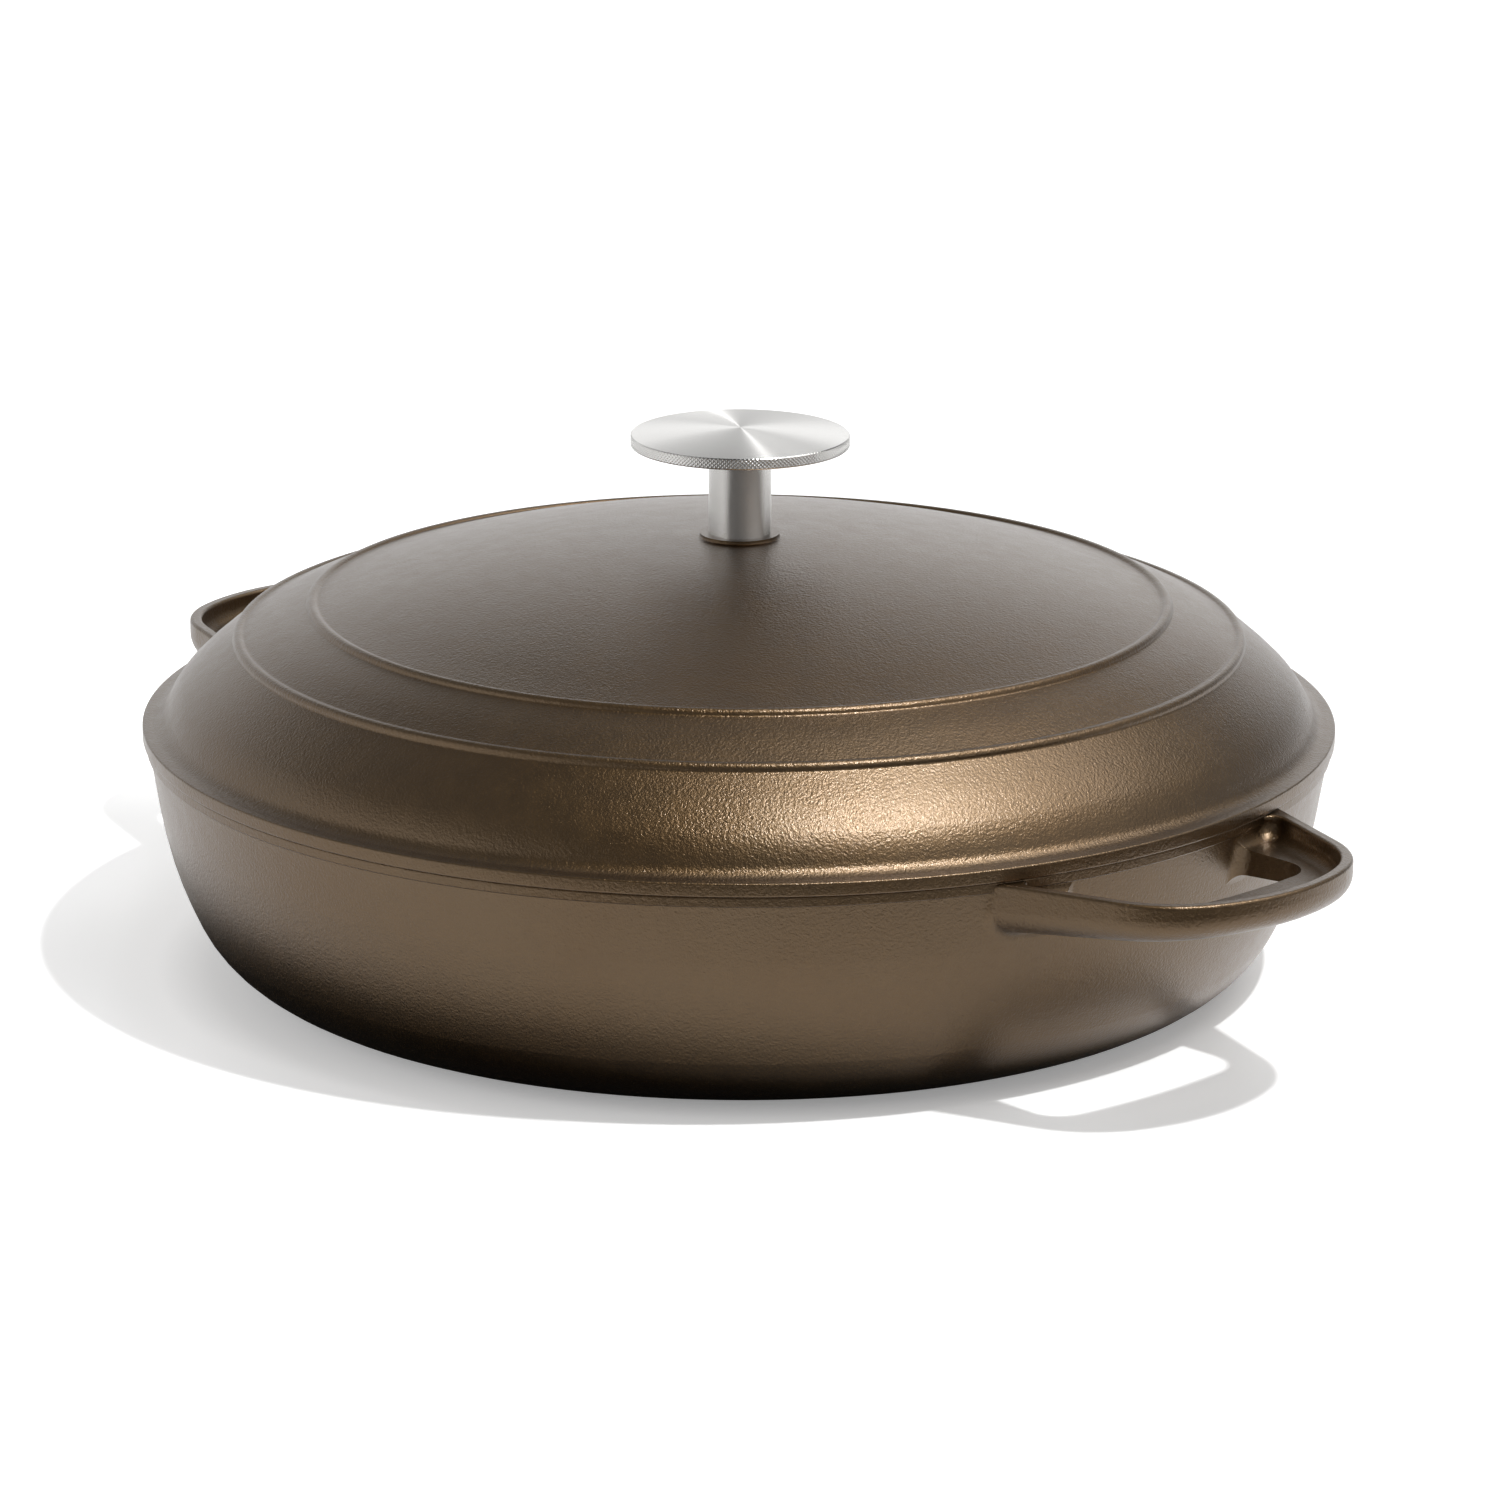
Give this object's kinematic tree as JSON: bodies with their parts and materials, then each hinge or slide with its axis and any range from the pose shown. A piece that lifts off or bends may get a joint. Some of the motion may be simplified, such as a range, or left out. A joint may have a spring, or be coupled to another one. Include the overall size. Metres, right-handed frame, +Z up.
{
  "type": "braiser",
  "caption": "Round cast-iron braiser: a shallow pan with two pierced loop handles and a domed lid lifted by a turned steel knob screwed on from inside.",
  "frame": {"origin": "centre of the pan's flat underside, on the surface that it stands on", "axes": "+Z up along the pan's axis, +X through the middle of one loop handle, +Y to the left of that handle as seen from above"},
  "size_m": [0.3908, 0.3054, 0.1408],
  "materials": {
    "cast_iron": "seasoned cast iron, fine grain with a soft oiled sheen",
    "knob_steel": "turned and brushed stainless steel with a knurled edge",
    "screw_steel": "plain stainless steel"
  },
  "bodies": {
    "pan": {"pan": "cast_iron"},
    "lid": {"lid": "cast_iron", "knob": "knob_steel", "knob_screw": "screw_steel", "lock_washer": "screw_steel"}
  },
  "joints": [
    {"name": "lid_lift", "type": "slide", "parent": "pan", "child": "lid", "axis": [0, 0, 1], "range_m": [0, 0.1]}
  ]
}
